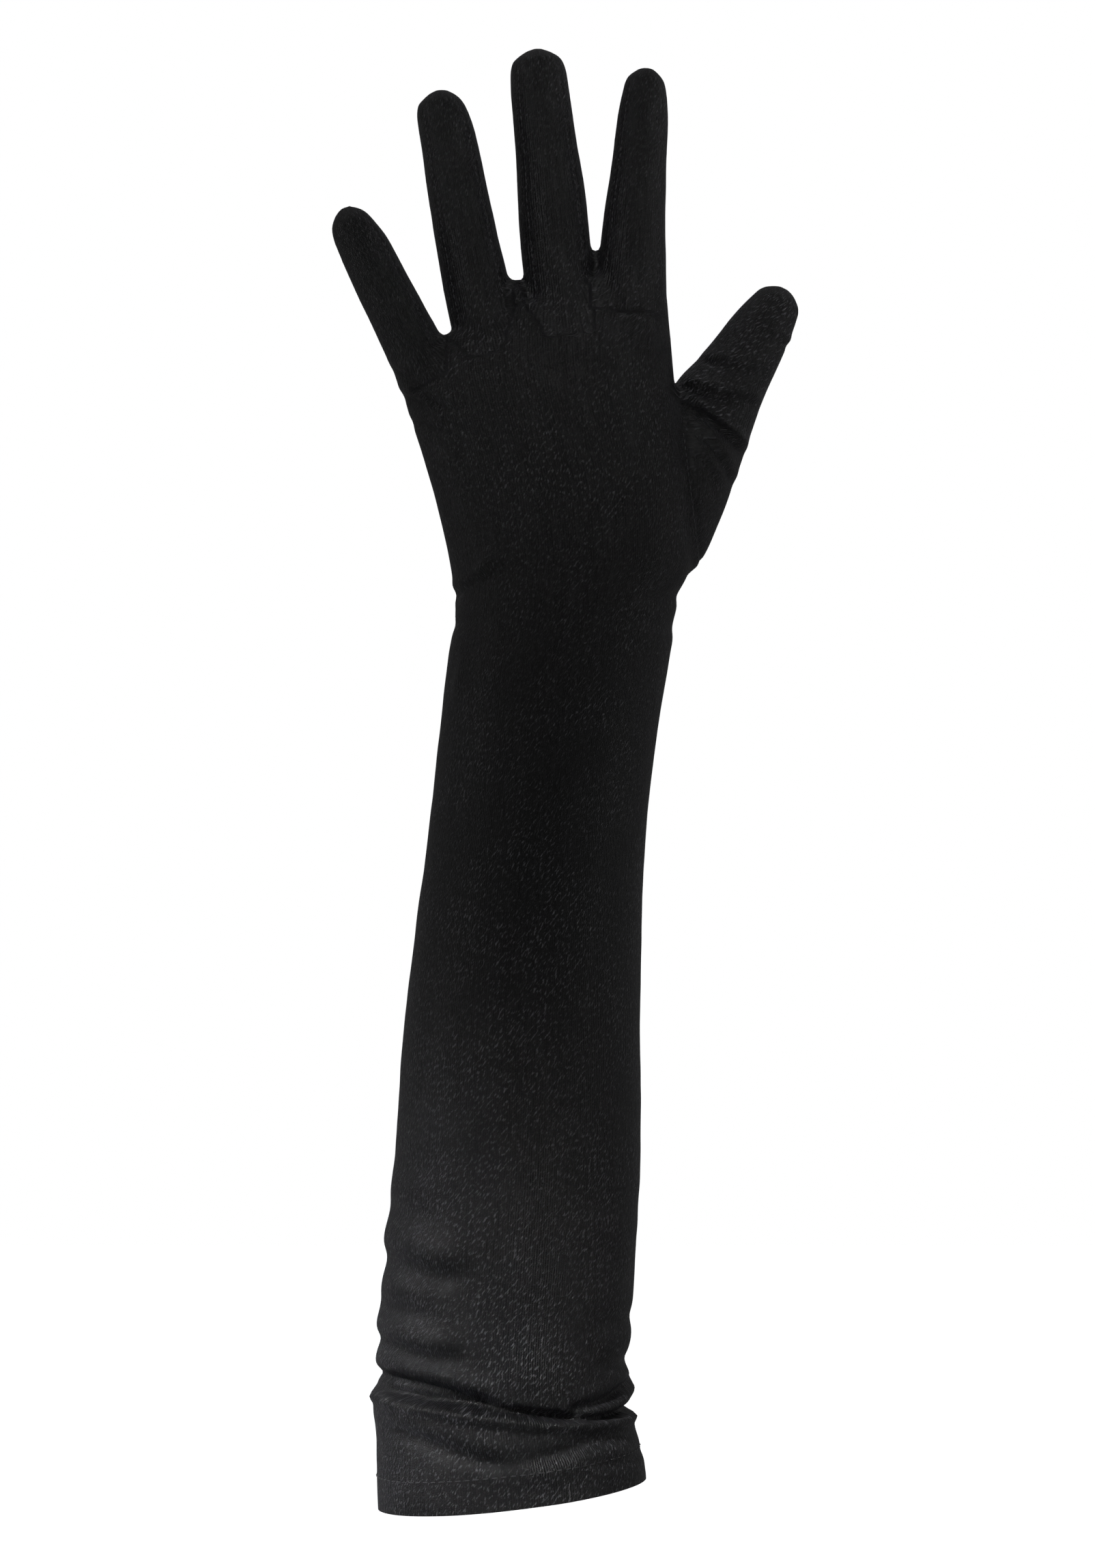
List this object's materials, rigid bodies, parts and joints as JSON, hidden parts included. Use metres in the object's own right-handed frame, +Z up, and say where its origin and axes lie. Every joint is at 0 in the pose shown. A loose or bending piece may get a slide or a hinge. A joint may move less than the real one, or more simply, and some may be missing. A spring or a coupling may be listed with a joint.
{
  "type": "opera glove",
  "caption": "Elbow-length stretch satin evening glove for a left hand, with separate fingers, set-in thumb and turned hem, shaped as worn.",
  "frame": {"origin": "centre of the arm opening, at the hem's lowest point", "axes": "+Z up the arm to the fingertips, +X to the thumb side, +Y to the palm side"},
  "size_m": [0.1474, 0.0746, 0.4601],
  "materials": {
    "satin": "black stretch satin, soft sheen",
    "satin_inside": "matte back of the satin",
    "thread": "black polyester sewing thread"
  },
  "bodies": {
    "sleeve": {"sleeve_trank": "satin", "hem_turnup": "satin_inside", "hem_stitching": "thread", "sleeve_seam_allowance": "satin_inside"},
    "hand": {"hand_trank": "satin", "hand_seam_allowance": "satin_inside", "thumb_gusset": "satin"},
    "knuckles": {"knuckle_trank": "satin", "little_base_trank": "satin", "ring_base_trank": "satin", "middle_base_trank": "satin", "index_base_trank": "satin", "ring_little_fourchette": "satin", "middle_ring_fourchette": "satin", "index_middle_fourchette": "satin"},
    "little_mid": {"little_mid_trank": "satin", "little_mid_fourchette": "satin"},
    "little_tip": {"little_tip_trank": "satin", "little_tip_fourchette": "satin"},
    "ring_mid": {"ring_mid_trank": "satin", "ring_mid_fourchette": "satin"},
    "ring_tip": {"ring_tip_trank": "satin", "ring_tip_fourchette": "satin"},
    "middle_mid": {"middle_mid_trank": "satin", "middle_mid_fourchette": "satin"},
    "middle_tip": {"middle_tip_trank": "satin", "middle_tip_fourchette": "satin"},
    "index_mid": {"index_mid_trank": "satin", "index_mid_fourchette": "satin"},
    "index_tip": {"index_tip_trank": "satin", "index_tip_fourchette": "satin"},
    "thumb": {"thumb_base": "satin"},
    "thumb_tip": {"thumb_tip": "satin"}
  },
  "joints": [
    {"name": "wrist", "type": "hinge", "parent": "sleeve", "child": "hand", "pos_m": [0.0175, 0, 0.281], "axis": [-1, 0, 0], "range_deg": [-45, 55]},
    {"name": "knuckles", "type": "hinge", "parent": "hand", "child": "knuckles", "pos_m": [0.0065, 0, 0.36], "axis": [-0.9519, 0, -0.3064], "range_deg": [-15, 75]},
    {"name": "little_mid", "type": "hinge", "parent": "knuckles", "child": "little_mid", "pos_m": [-0.03588, 0, 0.37695], "axis": [-0.8934, 0, -0.4493], "range_deg": [0, 85]},
    {"name": "little_tip", "type": "hinge", "parent": "little_mid", "child": "little_tip", "pos_m": [-0.04351, 0, 0.39213], "axis": [-0.8934, 0, -0.4493], "range_deg": [0, 50]},
    {"name": "ring_mid", "type": "hinge", "parent": "knuckles", "child": "ring_mid", "pos_m": [-0.01388, 0, 0.40181], "axis": [-0.9823, 0, -0.1874], "range_deg": [0, 85]},
    {"name": "ring_tip", "type": "hinge", "parent": "ring_mid", "child": "ring_tip", "pos_m": [-0.01819, 0, 0.42441], "axis": [-0.9823, 0, -0.1874], "range_deg": [0, 50]},
    {"name": "middle_mid", "type": "hinge", "parent": "knuckles", "child": "middle_mid", "pos_m": [0.01328, 0, 0.41228], "axis": [-0.9942, 0, -0.108], "range_deg": [0, 85]},
    {"name": "middle_tip", "type": "hinge", "parent": "middle_mid", "child": "middle_tip", "pos_m": [0.01069, 0, 0.43614], "axis": [-0.9942, 0, -0.108], "range_deg": [0, 50]},
    {"name": "index_mid", "type": "hinge", "parent": "knuckles", "child": "index_mid", "pos_m": [0.03968, 0, 0.41124], "axis": [-0.9966, 0, 0.0819], "range_deg": [0, 85]},
    {"name": "index_tip", "type": "hinge", "parent": "index_mid", "child": "index_tip", "pos_m": [0.0414, 0, 0.43217], "axis": [-0.9966, 0, 0.0819], "range_deg": [0, 50]},
    {"name": "thumb_swing", "type": "hinge", "parent": "hand", "child": "thumb", "pos_m": [0.05, 0.006, 0.33], "axis": [-0.14, 0, 0.9901], "range_deg": [-20, 16]},
    {"name": "thumb_tip", "type": "hinge", "parent": "thumb", "child": "thumb_tip", "pos_m": [0.07405, 0.013, 0.36331], "axis": [-0.7837, -0.3962, 0.4784], "range_deg": [0, 45]}
  ],
  "couplings": [
    {"joint": "little_tip", "follows": "little_mid", "ratio": 0.58},
    {"joint": "ring_tip", "follows": "ring_mid", "ratio": 0.58},
    {"joint": "middle_tip", "follows": "middle_mid", "ratio": 0.58},
    {"joint": "index_tip", "follows": "index_mid", "ratio": 0.58}
  ]
}
